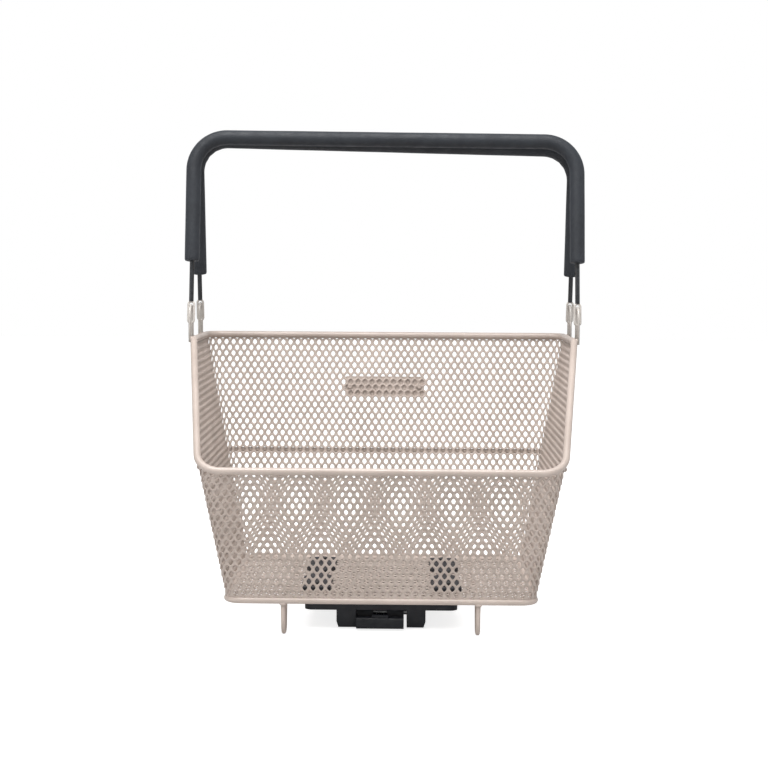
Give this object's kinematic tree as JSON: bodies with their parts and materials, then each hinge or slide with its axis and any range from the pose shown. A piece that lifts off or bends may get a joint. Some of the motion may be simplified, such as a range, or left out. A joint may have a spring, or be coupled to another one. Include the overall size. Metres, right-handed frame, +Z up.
{
  "type": "bicycle basket",
  "caption": "Low-fronted expanded-mesh bicycle basket with two folding foam-gripped carrying handles, wire feet and a quick-release rack adapter with a sprung lever.",
  "frame": {"origin": "on the ground, under the middle of the basket's outline", "axes": "+Z up, -Y towards the low front, +X to the right seen from the front"},
  "size_m": [0.4364, 0.2884, 0.5212],
  "materials": {
    "painted_mesh": "satin rose-beige paint on expanded steel",
    "painted_wire": "satin rose-beige paint on steel wire",
    "pale_wire": "pale satin coating",
    "black_wire": "black plastic-coated steel wire",
    "foam": "matte closed-cell foam",
    "black_plastic": "fine matte moulded",
    "black_steel": "blackened steel screws",
    "bare_steel": "zinc-plated"
  },
  "bodies": {
    "basket": {"base_ring": "painted_wire", "rim_wire": "painted_wire", "girdle_wire": "painted_wire", "front_mesh": "painted_mesh", "back_mesh": "painted_mesh", "left_mesh": "painted_mesh", "right_mesh": "painted_mesh", "floor_mesh": "painted_mesh", "name_plate": "painted_wire", "plate_rivets": "painted_wire", "left_runner": "painted_wire", "right_runner": "painted_wire", "adapter_tray": "black_plastic", "latch_housing": "black_plastic", "lever_pin": "bare_steel", "lever_spring": "bare_steel", "left_counter_plate": "black_plastic", "right_counter_plate": "black_plastic", "clamp_screws": "black_steel", "clamp_nuts": "bare_steel", "front_left_staple": "pale_wire", "front_right_staple": "pale_wire", "rear_left_staple": "pale_wire", "rear_right_staple": "pale_wire"},
    "front_handle": {"front_handle_wire": "black_wire", "front_grip": "foam", "front_left_eye": "pale_wire", "front_right_eye": "pale_wire"},
    "rear_handle": {"rear_handle_wire": "black_wire", "rear_grip": "foam", "rear_left_eye": "pale_wire", "rear_right_eye": "pale_wire"},
    "lever": {"release_lever": "black_plastic"}
  },
  "joints": [
    {"name": "front_handle_swing", "type": "hinge", "parent": "basket", "child": "front_handle", "pos_m": [0, 0.0285, 0.3186], "axis": [1, 0, 0], "range_deg": [0, 120]},
    {"name": "rear_handle_swing", "type": "hinge", "parent": "basket", "child": "rear_handle", "pos_m": [0, 0.1105, 0.3186], "axis": [-1, 0, 0], "range_deg": [0, 120]},
    {"name": "lever_release", "type": "hinge", "parent": "basket", "child": "lever", "pos_m": [0, -0.0705, 0.0155], "axis": [-1, 0, 0], "range_deg": [0, 26], "stiffness_Nm_per_rad": 0.08, "springref_deg": -28.65, "deforming": ["lever_spring"]}
  ]
}
